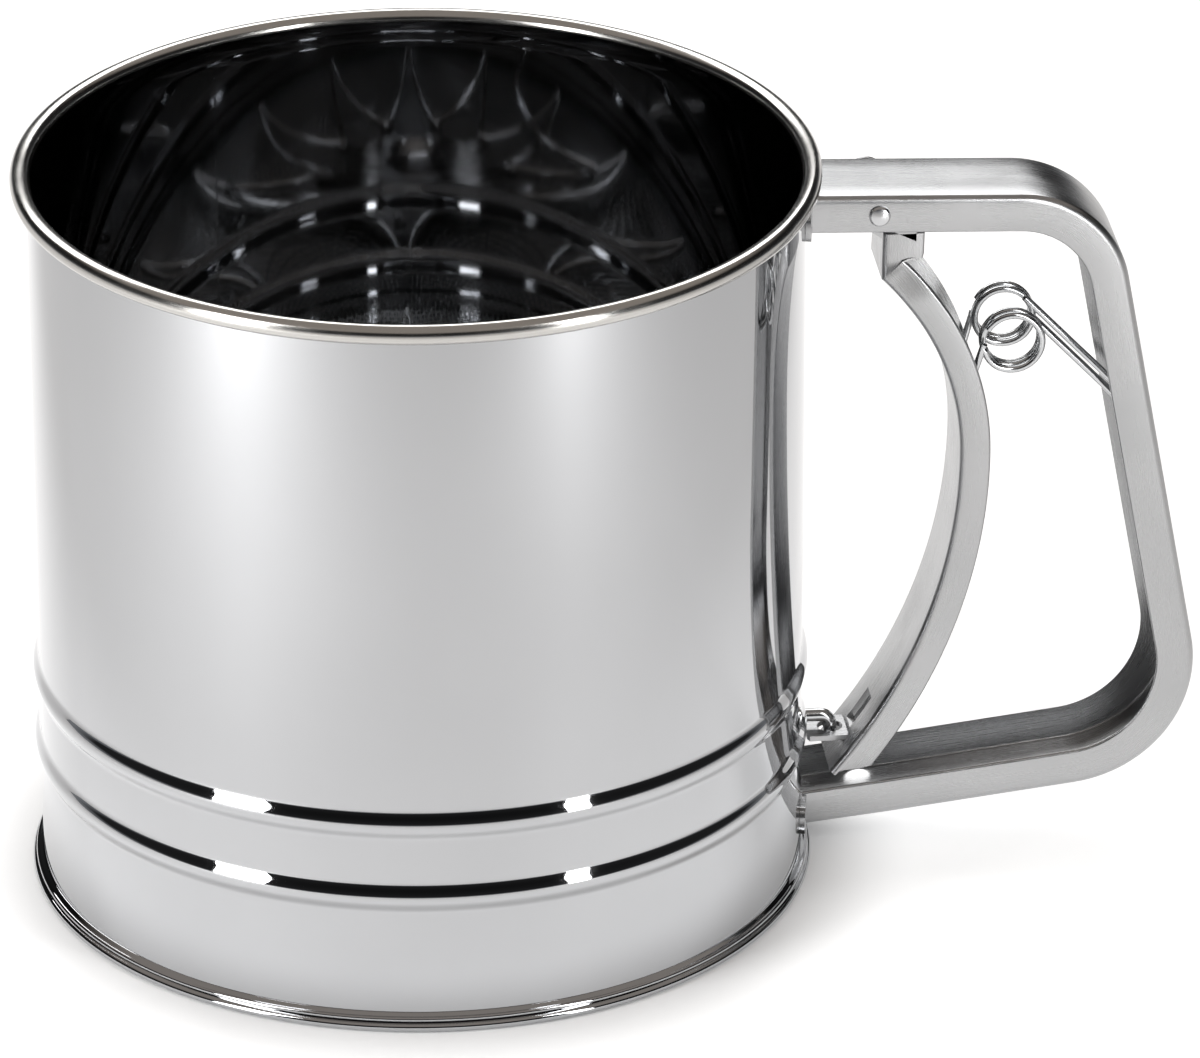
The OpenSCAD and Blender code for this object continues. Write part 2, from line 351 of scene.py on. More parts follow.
def arc(centre: Flat, r: float, a0: float, a1: float, n: int) -> list[Flat]:
    """Points of an arc.

    Args:
        centre: its centre.
        r: its radius.
        a0: first angle in degrees.
        a1: last angle in degrees.
        n: number of steps.

    Returns:
        n + 1 points.
    """
    angles = [math.radians(a0 + (a1 - a0) * i / n) for i in range(n + 1)]
    return [(centre[0] + r * math.cos(a), centre[1] + r * math.sin(a)) for a in angles]


def lathe(profile: Sequence[Flat], steps: int,
          warp: Callable[[float, float, float], float] | None = None) -> Shape:
    """Turns a closed profile about Z.

    Args:
        profile: radius and height of each point, in mm.
        steps: divisions round the circle.
        warp: optional function of angle, radius and height that returns the radius to use.

    Returns:
        The shape.
    """
    lengths, run, last = [], 0.0, profile[0]
    for point in profile:
        run += math.dist(point, last)
        lengths.append(run)
        last = point
    rows, uv = [], []
    for i in range(steps):
        a = math.tau * i / steps
        row = []
        for r, z in profile:
            used = warp(a, r, z) if warp else r
            row.append((used * math.cos(a), used * math.sin(a), z))
        rows.append(row)
        uv.append([(a * profile[0][0] * MM, length * MM) for length in lengths])
    shape = Shape()
    shape.grid(rows, uv, close_u=True, close_v=True)
    return shape


def fillet(points: Sequence[Point], r: float, closed: bool = False, n: int = 6) -> list[Vector]:
    """Rounds the corners of a polyline.

    Args:
        points: corners, in mm.
        r: fillet radius.
        closed: whether the line closes on itself.
        n: steps in each fillet.

    Returns:
        The rounded line.
    """
    pts = [Vector(p) for p in points]
    out: list[Vector] = []
    for i, p in enumerate(pts):
        if not closed and i in (0, len(pts) - 1):
            out.append(p)
            continue
        back, on = pts[i - 1] - p, pts[(i + 1) % len(pts)] - p
        half = back.angle(on) / 2
        taken = min(r / math.tan(half), back.length * FILLET_SHARE, on.length * FILLET_SHARE)
        start, end = p + back.normalized() * taken, p + on.normalized() * taken
        for k in range(n + 1):
            t = k / n
            out.append(start * (1 - t) ** 2 + p * 2 * t * (1 - t) + end * t * t)
    return out


def tube(line: Sequence[Vector], r: float, sides: int = 12, closed: bool = False,
         shape: Shape | None = None) -> Shape:
    """Sweeps a round wire along a line.

    Args:
        line: centre line, in mm.
        r: wire radius.
        sides: sides of the section.
        closed: whether the wire joins up.
        shape: shape to add to.

    Returns:
        The shape.
    """
    shape = shape or Shape()
    pts, widths = list(line), [1.0] * len(line)
    if not closed:
        first = (pts[0] - pts[1]).normalized()
        last = (pts[-1] - pts[-2]).normalized()
        pts = [pts[0] + first * r * END_PROUD, *pts, pts[-1] + last * r * END_PROUD]
        widths = [END_WIDTH, *widths, END_WIDTH]
    rows, uv, run, side = [], [], 0.0, None
    for i, p in enumerate(pts):
        ahead = (i + 1) % len(pts) if closed else min(i + 1, len(pts) - 1)
        behind = i - 1 if closed else max(i - 1, 0)
        along = (pts[ahead] - pts[behind]).normalized()
        if side is None:
            side = along.orthogonal().normalized()
        side = (side - along * side.dot(along)).normalized()
        other = along.cross(side)
        if i:
            run += (p - pts[i - 1]).length
        ring = []
        for k in range(sides):
            a = math.tau * k / sides
            ring.append(tuple(p + (side * math.cos(a) + other * math.sin(a)) * r * widths[i]))
        rows.append(ring)
        uv.append([(run * MM, k / sides * math.tau * r * MM) for k in range(sides)])
    shape.grid(rows, uv, close_u=True, close_v=closed, caps=not closed)
    return shape


def channel_section(width: float, depth: float, sheet: float, corner: float) -> list[Flat]:
    """Section of a folded U-channel with rounded folds.

    Args:
        width: outside width.
        depth: outside depth.
        sheet: sheet thickness.
        corner: outside fold radius.

    Returns:
        Points as depth below the web's outer face and distance across.
    """
    w, lip = width / 2, sheet / 2
    inner = max(corner - sheet, SHARPEST_FOLD)
    return [
        *arc((depth - lip, -w + lip), lip, 0, -90, LIP_STEPS),
        *arc((corner, -w + corner), corner, -90, -180, FOLD_STEPS),
        *((0.0, y) for y in (-w * 0.4, 0.0, w * 0.4)),
        *arc((corner, w - corner), corner, 180, 90, FOLD_STEPS),
        *arc((depth - lip, w - lip), lip, 90, 0, LIP_STEPS),
        *arc((sheet + inner, w - sheet - inner), inner, 90, 180, INSIDE_STEPS),
        *arc((sheet + inner, -w + sheet + inner), inner, 180, 270, INSIDE_STEPS)]


def strip_row(section: Sequence[Flat], run: float) -> list[Flat]:
    """Surface coordinates of a strip's section, so that its grain follows the strip.

    Args:
        section: points as depth and distance across, in mm.
        run: distance along the strip, in mm.

    Returns:
        One coordinate for each point, in metres.
    """
    return [(run * MM, (d + abs(y)) * math.copysign(1, y) * MM) for d, y in section]


def heading(deg: float) -> Vector:
    """Unit vector at an angle in the XZ plane."""
    return Vector((math.cos(math.radians(deg)), math.sin(math.radians(deg))))


def cutter(name: str, kind: Cut, at: Point, size: Point, turn: Point = (0, 0, 0)) -> bpy.types.Object:
    """Makes a box or cylinder to cut with.

    Args:
        name: object name.
        kind: a box or a cylinder.
        at: centre in mm.
        size: box sides, or radius, radius and length.
        turn: rotation in degrees.

    Returns:
        The object.
    """
    bm = bmesh.new()
    if kind is Cut.BOX:
        bmesh.ops.create_cube(bm, size=1.0)
    else:
        bmesh.ops.create_cone(bm, cap_ends=True, segments=HOLE_SIDES, radius1=1, radius2=1,
                              depth=1)
    spin = Euler([math.radians(t) for t in turn]).to_matrix().to_4x4()
    place = Matrix.Translation([c * MM for c in at]) @ spin
    bm.transform(place @ Matrix.Diagonal([*(s * MM for s in size), 1]))
    mesh = bpy.data.meshes.new(name)
    bm.to_mesh(mesh)
    bm.free()
    made = bpy.data.objects.new(name, mesh)
    bpy.context.scene.collection.objects.link(made)
    return made


def cut(target: bpy.types.Object, tools: Iterable[bpy.types.Object], sharp_deg: float = 40) -> None:
    """Cuts shapes out of an object and drops them.

    Args:
        target: object to cut.
        tools: cutting shapes.
        sharp_deg: edges sharper than this stay hard.
    """
    tools = list(tools)
    for tool in tools:
        mod = target.modifiers.new("cut", "BOOLEAN")
        mod.operation, mod.solver, mod.object = "DIFFERENCE", "EXACT", tool
    deps = bpy.context.evaluated_depsgraph_get()
    mesh = bpy.data.meshes.new_from_object(target.evaluated_get(deps))
    target.modifiers.clear()
    target.data = mesh
    mesh.shade_smooth()
    mesh.set_sharp_from_angle(angle=math.radians(sharp_deg))
    for tool in tools:
        bpy.data.objects.remove(tool)


def centre_mm(node: str) -> Vector:
    """Centre of a CAD node's box, in mm."""
    low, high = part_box(node)
    return (Vector(low) + Vector(high)) / 2 / MM


# ------------------------------------------------------------------ drum
@dataclass
class Drum:
    """The beaded wall with its rolled rim, and the foot ring crimped on it; sizes in mm.

    The wall's rings lie at the heights in below and above, and close together
    across the beads, at heights in close_tenths of a millimetre. The rim's
    join is join_deg before +X, and its one side is thinned over join_width_deg.
    """

    radius: float = 50.0
    sheet: float = 0.6
    height: float = 98.9
    roll: float = 1.3
    roll_end_deg: float = -122
    roll_steps: int = 26
    beads: Flat = (18.7, 29.0)
    bead_half: float = 2.1
    bead_out: float = 0.7
    bead_fullness: float = 0.8
    below: tuple[float, ...] = (0.6, 4.0, 8.0, 12.0, 15.0)
    close_tenths: range = range(160, 320, 3)
    above: tuple[float, ...] = (36.0, 45.0, 60.0, 75.0, 88.0, 94.0)
    steps: int = 360
    sharp_deg: float = 50
    join_deg: float = 3.5
    join_width_deg: float = 25
    join_reach: float = 0.2
    join_share: float = 0.94
    slot_size: Point = (6, 4.6, 3.2)
    slot_rise: float = 1.55
    foot_bore: float = 48.9
    foot_chamfer: float = 0.25
    groove: Flat = (49.37, 50.03)
    groove_floor: float = 0.6

    def _bulge(self, z: float) -> float:
        """How far the beads push the wall out.

        Args:
            z: height on the wall.

        Returns:
            The push.
        """
        out = 0.0
        for bead in self.beads:
            t = abs(z - bead) / self.bead_half
            if t < 1:
                out += self.bead_out * (0.5 + 0.5 * math.cos(math.pi * t)) ** self.bead_fullness
        return out

    def wall(self) -> None:
        """Builds the wall and cuts the drive link's slot in it."""
        inner = self.radius - self.sheet
        levels = [*self.below, *(z / 10 for z in self.close_tenths), *self.above]
        up = [(inner + self._bulge(z), z) for z in levels]
        middle = (inner + self.roll, self.height - self.roll)
        roll = arc(middle, self.roll, 180, self.roll_end_deg, self.roll_steps)
        down = [(self.radius + self._bulge(z), z) for z in reversed(levels)]
        rim_from = self.height - 2 * self.roll

        def lap(a: float, r: float, z: float) -> float:
            """Thins the roll a little on one side of the rim's join.

            Args:
                a: angle round the drum, in radians.
                r: the point's radius.
                z: the point's height.

            Returns:
                The radius to use.
            """
            turned = (math.degrees(a) + self.join_deg) % 360
            thinned = turned > 360 - self.join_width_deg and z >= rim_from - self.join_reach
            return middle[0] + (r - middle[0]) * self.join_share if thinned else r

        shape = lathe([*up, *roll, *down], self.steps, lap)
        wall = shape.build("wall", Slot.SHEET, Body.SHELL, self.sharp_deg)
        slot_at = (self.radius, 0, centre_mm("drive_link").z + self.slot_rise)
        cut(wall, [cutter("slot", Cut.BOX, slot_at, self.slot_size)], self.sharp_deg)
        wall.data.materials.append(ROLLED.build())
        for face in wall.data.polygons:
            face.material_index = int(face.center.z > rim_from * MM)
        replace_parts(wall, "drum_wall")

    def foot(self) -> None:
        """Builds the foot ring: two rolled ridges outside, a groove for the wall inside."""
        wide, _, top = (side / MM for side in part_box("foot_ring")[1])
        bore, chamfer, floor = self.foot_bore, self.foot_chamfer, self.groove_floor
        low_ridge = arc((wide - 0.55, 0.6), 0.55, -80, 70, 8)
        high_ridge = arc((wide - 0.75, 1.62), 0.34, -70, 80, 6)
        profile = [
            (bore, chamfer), (bore + chamfer, 0.0), (wide - 0.6, 0.0),
            *low_ridge, (wide - 0.55, 1.2), *high_ridge, (wide - 0.95, 2.1),
            (wide - 1.2, top - 0.05), (self.groove[1], top), (self.groove[1], floor),
            (self.groove[0], floor), (self.groove[0], top), (bore + 0.2, top),
            (bore, top - chamfer)]
        ring = lathe(profile, self.steps).build("foot", Slot.SHEET, Body.SHELL, 35)
        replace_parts(ring, "foot_ring")

    def build(self) -> None:
        """Builds both pieces."""
        self.wall()
        self.foot()


# ------------------------------------------------------------------ screen
@dataclass
class Screen:
    """The woven mesh inside its hoop; sizes in mm."""

    pitch: float = 1.5
    wire: float = 0.16
    crimp: float = 0.13
    edge: float = 0.2
    shortest: float = 4
    hole: float = 1.7
    clear: float = 0.1

    def _spans(self, off: float, reach: float) -> list[Flat]:
        """Lengths that one strand runs in.

        Args:
            off: the strand's distance from the middle.
            reach: the mesh's radius.

        Returns:
            Start and end of each length: none at the very edge, two beside the pivot's hole.
        """
        half = math.sqrt(max(reach ** 2 - off ** 2, 0))
        if half < self.shortest:
            return []
        if abs(off) < self.hole:
            gap = math.sqrt(max(self.hole ** 2 - off ** 2, self.clear)) + self.clear
            return [(-half, -gap), (gap, half)]
        return [(-half, half)]

    def _strand(self, number: int, span: Flat, z: float, turned: bool) -> list[Vector]:
        """Line of one length of strand, over and under the crossing ones.

        Args:
            number: the strand's place, counted from the middle.
            span: start and end.
            z: the mesh's height.
            turned: whether it runs along Y.

        Returns:
            The line.
        """
        off, (start, end) = (number + 0.5) * self.pitch, span
        n = max(int((end - start) / self.pitch * 2), 2)
        line = []
        for k in range(n + 1):
            s = start + (end - start) * k / n
            wave = math.cos(math.pi * (s / self.pitch - 0.5 + number + turned))
            level = z + wave * self.crimp
            line.append(Vector((off, s, level) if turned else (s, off, level)))
        return line

    def build(self) -> None:
        """Weaves the mesh."""
        low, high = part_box("screen_mesh")
        reach = high[0] / MM - self.edge
        z = (low[2] + high[2]) / 2 / MM
        shape = Shape()
        count = int(reach / self.pitch)
        for turned in (False, True):
            for number in range(-count, count + 1):
                for span in self._spans((number + 0.5) * self.pitch, reach):
                    tube(self._strand(number, span, z, turned), self.wire, 4, shape=shape)
        mesh = shape.build("weave", Slot.MESH, Body.SHELL, 80)
        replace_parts(mesh, "screen_mesh")


# ------------------------------------------------------------------ agitator
@dataclass
class Agitator:
    """The star of wire that sweeps the mesh; sizes in mm."""

    tips: int = 6
    wire: float = 0.75
    inner: float = 11.0
    bend: float = 1.3
    first_deg: float = -90

    def build(self) -> None:
        """Bends the star from one wire."""
        low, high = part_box("agitator_wire")
        z = (low[2] + high[2]) / 2 / MM
        outer = high[1] / MM - self.wire - JOINT_PROUD
        points = []
        for k in range(self.tips):
            for radius, half in ((outer, 0.0), (self.inner, 0.5)):
                a = math.radians(self.first_deg + 360 / self.tips * (k + half))
                points.append((radius * math.cos(a), radius * math.sin(a), z))
        star = tube(fillet(points, self.bend, closed=True), self.wire, 14, closed=True)
        made = star.build("star", Slot.WIRE, Body.AGITATOR, WIRE_SHARP_DEG)
        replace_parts(made, "agitator_wire")


@dataclass
class DriveLink:
    """The wire that joins the trigger to the agitator; sizes in mm."""

    wire: float = 0.9
    bend: float = 1.5
    bend_x: float = 30.0
    hook_drop: float = 3

    def build(self) -> None:
        """Bends the link."""
        low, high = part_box("drive_link")
        z = high[2] / MM - self.wire - JOINT_PROUD
        lug = low[1] / MM + self.wire + JOINT_PROUD
        hook = high[0] / MM - self.wire - JOINT_PROUD
        points = [(0, lug, low[2] / MM), (0, lug, z), (self.bend_x, 0, z), (hook, 0, z),
                  (hook, 0, z - self.hook_drop)]
        shape = tube(fillet(points, self.bend), self.wire, 16)
        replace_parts(shape.build("link", Slot.WIRE, Body.LINK, WIRE_SHARP_DEG), "drive_link")


# ------------------------------------------------------------------ handle
@dataclass
class Handle:
    """The folded channel that makes the handle's three runs; sizes in mm.

    Each run has its heading, each corner its place and bend. The stops are the
    straight runs' sections: at top and low in mm from the bend, at the back as
    shares of the run.
    """

    width: float = 13.4
    depth: float = 5.0
    sheet: float = 0.7
    fold: float = 1.0
    sharp_deg: float = 32
    top_deg: float = -2.4
    back_deg: float = -79.7
    low_deg: float = -173.4
    top_corner: Flat = (89.6, 92.5)
    low_corner: Flat = (104.7, 9.8)
    top_bend: float = 15.0
    low_bend: float = 17.5
    top_steps: int = 24
    low_steps: int = 28
    top_stops: Point = (27, 18, 9)
    back_stops: Point = (0.25, 0.5, 0.75)
    low_stops: Point = (12, 24, 35.2)
    end_radius: float = 50.1
    hole_at: Point = (58.5, 6.6, 7.2)
    hole_size: Point = (1.75, 1.75, 2.2)
    feet: tuple[Flat, Flat] = ((89.6, 93.8), (4.3, 8.2))
    foot_y: Flat = (6.1, 11.15)
    foot_radii: Point = (50.04, 50.4, 50.74)
    foot_round: float = 1.2
    foot_steps: int = 16

    @staticmethod
    def _bend(centre: Vector, r: float, turn: Flat, n: int) -> list[tuple[Vector, Vector]]:
        """Outer outline of one bend.

        Args:
            centre: its centre in the XZ plane.
            r: its outer radius.
            turn: headings before and after it.
            n: number of steps.

        Returns:
            Points and inward directions.
        """
        ways = [heading(turn[0] + 90 + (turn[1] - turn[0]) * k / n) for k in range(n + 1)]
        return [(centre + way * r, -way) for way in ways]

    def _line(self) -> list[tuple[Vector, Vector]]:
        """Outer outline of the handle's side.

        Returns:
            Points and inward directions in the XZ plane.
        """
        headings = (self.top_deg, self.back_deg, self.low_deg)
        top, back, low = (heading(deg) for deg in headings)
        into_top, into_back, into_low = (heading(deg - 90) for deg in headings)
        top_turn, low_turn = headings[:2], headings[1:]
        top_taken = self.top_bend * math.tan(math.radians((top_turn[0] - top_turn[1]) / 2))
        low_taken = self.low_bend * math.tan(math.radians((low_turn[0] - low_turn[1]) / 2))
        top_from = Vector(self.top_corner) - top * top_taken
        low_from = Vector(self.low_corner) - back * low_taken
        low_to = Vector(self.low_corner) + low * low_taken
        line = [(top_from - top * t, into_top) for t in self.top_stops]
        line += self._bend(top_from + into_top * self.top_bend, self.top_bend, top_turn,
                           self.top_steps)
        top_to = line[-1][0]
        line += [(top_to.lerp(low_from, t), into_back) for t in self.back_stops]
        line += self._bend(low_from + into_back * self.low_bend, self.low_bend, low_turn,
                           self.low_steps)
        return line + [(low_to + low * t, into_low) for t in self.low_stops]

    def _foot(self, shape: Shape, side: int, z0: float, z1: float) -> None:
        """Adds one foot: the flange's end turned sideways and curved to the wall.

        Args:
            shape: shape to add to.
            side: -1 or 1, the side it points to.
            z0: lower edge.
            z1: upper edge.
        """
        rows, uv = [], []
        root, tip = self.foot_y
        inner, middle, outer = self.foot_radii
        for k in range(self.foot_steps + 1):
            y = root + (tip - root) * k / self.foot_steps
            rounded = max(0.0, (y - tip + self.foot_round) / self.foot_round)
            inset = self.foot_round * (1 - math.sqrt(max(0.0, 1 - rounded ** 2)))
            a = math.asin(y / middle)
            corners = ((inner, z0 + inset), (outer, z0 + inset), (outer, z1 - inset),
                       (inner, z1 - inset))
            rows.append([(r * math.cos(a), side * r * math.sin(a), z) for r, z in corners])
            uv.append([(z * MM, y * MM) for z in (z0, z0, z1, z1)])
        shape.grid(rows, uv, close_u=True, caps=True)

    def build(self) -> None:
        """Folds the channel and fits its feet to the drum."""
        section = channel_section(self.width, self.depth, self.sheet, self.fold)
        line = self._line()
        rows, uv, run = [], [], 0.0
        for i, (p, into) in enumerate(line):
            if i:
                run += (p - line[i - 1][0]).length
            row = [(p.x + into.x * d, y, p.y + into.y * d) for d, y in section]
            if i in (0, len(line) - 1):
                row = [(math.sqrt(self.end_radius ** 2 - y * y), y, z) for _, y, z in row]
            rows.append(row)
            uv.append(strip_row(section, run))
        shape = Shape()
        shape.grid(rows, uv, close_u=True, caps=True)
        made = shape.build("channel", Slot.STRIP, Body.SHELL, self.sharp_deg)
        hole = cutter("hole", Cut.CYLINDER, self.hole_at, self.hole_size, (90, 0, 0))
        cut(made, [hole], self.sharp_deg)
        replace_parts(made, "handle")
        feet = Shape()
        for side in (-1, 1):
            for low, high in self.feet:
                self._foot(feet, side, low, high)
        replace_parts(feet.build("feet", Slot.STRIP, Body.SHELL, self.sharp_deg), "handle")


# ------------------------------------------------------------------ trigger
@dataclass
class Trigger:
    """The squeeze lever: a bowed channel that narrows to a neck and ears; sizes in mm.

    Its finger face follows two arcs, each given as centre and radius in the XZ
    plane: down to the foot over down_deg, and up to the neck over up_deg.
    """

    sheet: float = 0.8
    fold: float = 0.9
    sharp_deg: float = 32
    up: Point = (35.1, 56.5, 35.0)
    up_deg: float = 45.6
    up_steps: int = 36
    down: Point = (0.1, 56.5, 70.0)
    down_deg: float = 40.3
    down_steps: int = 40
    width: float = 12.5
    depth: float = 4.0
    foot_depth: float = 1.0
    foot_bare_deg: float = 0.6
    foot_taper_deg: float = 2.2
    narrow_from_deg: float = 36
    narrow_by: float = 1.1
    neck_width: float = 11.4
    neck_rise: float = 6.4
    neck_lean: float = 0.15
    neck_steps: int = 9
    neck_narrower: float = 0.6
    neck_deeper: float = 1.4
    neck_straighten_rate: float = 2.4
    neck_narrow_rate: float = 3
    neck_deepen_rate: float = 2
    window_at: Point = (56, 0, 17.4)
    window_size: Point = (8, 3.2, 4.2)
    ear_y: Flat = (4.6, 5.4)
    ear_round: float = 1.6
    lug_z: Flat = (14.2, 14.9)
    lug_hole: float = 1.6
    lug_flare: float = 0.06
    lug_edge: float = 0.08
    lug_side: float = 3.0
    lug_back: float = 3.3
    lug_front: float = 2.15

    def _stations(self) -> list[tuple[Vector, Vector, float, float]]:
        """Path of the web's finger face from the foot to the neck's top.

        Returns:
            Point, direction towards the handle's back, width and depth at each station.
        """
        out = []
        deeper = self.depth - self.foot_depth
        for k in range(self.down_steps + 1):
            left = self.down_deg * (1 - k / self.down_steps)
            bare = self.down_deg - left - self.foot_bare_deg
            taper = min(1.0, max(0.0, bare / self.foot_taper_deg))
            way = heading(-left)
            p = Vector(self.down[:2]) + way * self.down[2]
            out.append((p, way, self.width, self.foot_depth + deeper * taper))
        for k in range(1, self.up_steps + 1):
            deg = self.up_deg * k / self.up_steps
            way = heading(deg)
            p = Vector(self.up[:2]) + way * self.up[2]
            t = max(0.0, (deg - self.narrow_from_deg) / (self.up_deg - self.narrow_from_deg))
            out.append((p, way, self.width - self.narrow_by * (t * t * (3 - 2 * t)), self.depth))
        root = out[-1][0]
        for k in range(1, self.neck_steps + 1):
            t = k / self.neck_steps
            p = Vector((root.x + self.neck_lean * t, root.y + self.neck_rise * t))
            way = heading(self.up_deg * max(0.0, 1 - t * self.neck_straighten_rate))
            width = self.neck_width - self.neck_narrower * min(1, t * self.neck_narrow_rate)
            depth = self.depth + self.neck_deeper * min(1, t * self.neck_deepen_rate)
            out.append((p, way, width, depth))
        return out

    def build(self) -> None:
        """Presses the lever, then adds its ears and its lug."""
        rows, uv, run = [], [], 0.0
        stations = self._stations()
        for i, (p, way, width, depth) in enumerate(stations):
            if i:
                run += (p - stations[i - 1][0]).length
            section = channel_section(width, depth, self.sheet, self.fold)
            rows.append([(p.x + way.x * d, y, p.y + way.y * d) for d, y in section])
            uv.append(strip_row(section, run))
        shape = Shape()
        shape.grid(rows, uv, close_u=True, caps=True)
        lever = shape.build("lever", Slot.STRIP, Body.TRIGGER, self.sharp_deg)
        cut(lever, [cutter("window", Cut.BOX, self.window_at, self.window_size)], self.sharp_deg)
        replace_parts(lever, "trigger")
        self._ears()
        self._lug()

    def _ears(self) -> None:
        """Adds the two ears at the pin, each drawn as its outline about the pin's axis."""
        pin = centre_mm("trigger_pin")
        shape = Shape()
        outline = [(0.6, -2.2), (5.0, -4.4), (5.0, -0.6),
                   *arc((0.0, 0.0), self.ear_round, 50, 215, 16), (-0.8, -2.8), (0.55, -3.8)]
        for side in (-1, 1):
            rows = [[(pin.x + a, side * y, pin.z + b) for a, b in outline] for y in self.ear_y]
            uv = [[((pin.x + a) * MM, (pin.z + b) * MM) for a, b in outline] for _ in rows]
            shape.grid(rows, uv, close_u=True, caps=True)
        ears = shape.build("ears", Slot.STRIP, Body.TRIGGER, self.sharp_deg)
        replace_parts(ears, "trigger")

    def _lug(self) -> None:
        """Adds the lug that the drive link hooks into, its hole slightly flared."""
        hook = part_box("drive_link")[1][0] / MM - DriveLink.wire - JOINT_PROUD
        low, high = self.lug_z
        inner = arc((hook, 0), self.lug_hole, 180, -180, 32)[:-1]
        rows = []
        for z, flare in ((low, self.lug_flare), (low + self.lug_edge, 0.0),
                         (high - self.lug_edge, 0.0), (high, self.lug_flare)):
            rows.append([(hook + (x - hook) * (1 + flare), y * (1 + flare), z) for x, y in inner])
        outer = []
        for x, y in inner:
            a = math.atan2(y, x - hook)
            ahead = self.lug_front if math.cos(a) > 0 else self.lug_back
            reach = min(ahead / max(abs(math.cos(a)), TINY),
                        self.lug_side / max(abs(math.sin(a)), TINY))
            outer.append((hook + reach * math.cos(a), reach * math.sin(a)))
        rows += [[(x, y, z) for x, y in outer] for z in (high, low)]
        uv = [[(x * MM, y * MM) for x, y, _ in row] for row in rows]
        shape = Shape()
        shape.grid(rows, uv, close_u=True, close_v=True)
        lug = shape.build("lug", Slot.STRIP, Body.TRIGGER, self.sharp_deg)
        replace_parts(lug, "trigger")


@dataclass
class Pin:
    """The rivet the trigger hangs on: a large head far, peened near; sizes in mm."""

    shank: float = 0.95
    near_head: float = 1.38
    far_head: float = 2.4
    far_deep: float = 1.1
    steps: int = 48

    def build(self) -> None:
        """Turns the rivet and lays it across the handle."""
        low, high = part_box("trigger_pin")
        at = centre_mm("trigger_pin")
        near, far = low[1] / MM, high[1] / MM
        profile = [
            (0.001, near), (0.7, near + 0.03), (1.15, near + 0.16), (self.near_head, near + 0.4),
            (self.near_head, near + 0.6), (self.shank, near + 0.62),
            (self.shank, far - self.far_deep), (self.far_head, far - self.far_deep),
            (self.far_head, far - 0.7), (2.1, far - 0.3), (1.4, far - 0.06), (0.001, far)]
        shape = lathe(profile, self.steps)
        shape.verts = [(at.x + x, z, at.z + y) for x, y, z in shape.verts]
        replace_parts(shape.build("rivet", Slot.SMALL, Body.SHELL, 30), "trigger_pin")


# ------------------------------------------------------------------ spring
@dataclass
class Spring:
    """The double coil that pushes the trigger out; sizes in mm.

    Each coil has its inner turns on the rear piece and its outer turn on a
    front leg. The y values are distances from the middle, one for each end.
    """

    wire: float = 0.475
    radius: float = 3.8
    coil: Flat = (76.9, 71.7)
    anchor: Flat = (94.1, 59.0)
    leg_deg: float = 44.0
    rear_turn: float = 630
    rear_y: Flat = (3.9, 3.0)
    bridge_bend: float = 1.0
    front_deg: float = 180
    front_turn: float = 330
    front_y: Flat = (4.85, 5.15)
    tip: Flat = (70.9, 63.9)
    tip_y: float = 4.4
    step_deg: float = 9
    sides: int = 12

    def _helix(self, a0: float, a1: float, y0: float, y1: float) -> list[Vector]:
        """Points of a helix about the coil's axis.

        Args:
            a0: first angle in degrees.
            a1: last angle.
            y0: position along the axis at the first angle.
            y1: position at the last angle.

        Returns:
            The points.
        """
        n = int(abs(a1 - a0) / self.step_deg)
        out = []
        for k in range(n + 1):
            t = k / n
            a = math.radians(a0 + (a1 - a0) * t)
            out.append(Vector((self.coil[0] + self.radius * math.cos(a), y0 + (y1 - y0) * t,
                               self.coil[1] + self.radius * math.sin(a))))
        return out

    def build(self) -> None:
        """Winds the rear piece, then a front leg for each side."""
        start_y, end_y = self.rear_y
        left = self._helix(self.leg_deg - self.rear_turn, self.leg_deg, -start_y, -end_y)
        right = [Vector((p.x, -p.y, p.z)) for p in reversed(left)]
        back = [(self.anchor[0], side * end_y, self.anchor[1]) for side in (-1, 1)]
        bridge = fillet([tuple(left[-1]), *back, tuple(right[0])], self.bridge_bend)
        line = left + bridge[1:-1] + right
        coils = tube(line, self.wire, self.sides)
        rear = coils.build("coils", Slot.WIRE, Body.SPRING_REAR, WIRE_SHARP_DEG)
        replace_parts(rear, "return_spring_rear")
        start_y, end_y = self.front_y
        for side, name in ((-1, "near"), (1, "far")):
            turn = self._helix(self.front_deg + self.front_turn, self.front_deg, side * start_y,
                               side * end_y)
            end = Vector((self.tip[0], side * self.tip_y, self.tip[1]))
            leg = tube([*turn, turn[-1].lerp(end, 0.5), end], self.wire, self.sides)
            made = leg.build(f"leg_{name}", Slot.WIRE, Body.SPRING_FRONT, WIRE_SHARP_DEG)
            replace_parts(made, f"return_spring_leg_{name}")


# ------------------------------------------------------------------ CAD pieces kept
def dress_cad() -> None:
    """Gives the CAD nodes that stay their slot's finish."""
    slots = {s["node"]: Slot(s["material_slot"]) for s in frame["record"]["subparts"]}
    for name, node in frame["nodes"].items():
        node.data.materials.clear()
        node.data.materials.append(material(slots[name], Coord.OBJECT))


# ------------------------------------------------------------------ studio
@dataclass(frozen=True)
class Softbox:
    """An area light that the camera doesn't see; places and sizes in metres."""

    name: str
    at: Point
    size: Flat
    watts: float
    aim: Point = (0.02, 0.0, 0.05)

    def hang(self) -> None:
        """Hangs the light and turns it to its aim."""
        data = bpy.data.lights.new(self.name, "AREA")
        data.shape, data.energy = "RECTANGLE", self.watts
        data.size, data.size_y = self.size
        light = bpy.data.objects.new(self.name, data)
        light.location = self.at
        light.rotation_mode = "QUATERNION"
        way = Vector(self.aim) - Vector(self.at)
        light.rotation_quaternion = way.to_track_quat("-Z", "Y")
        light.visible_camera = False
        bpy.context.scene.collection.objects.link(light)


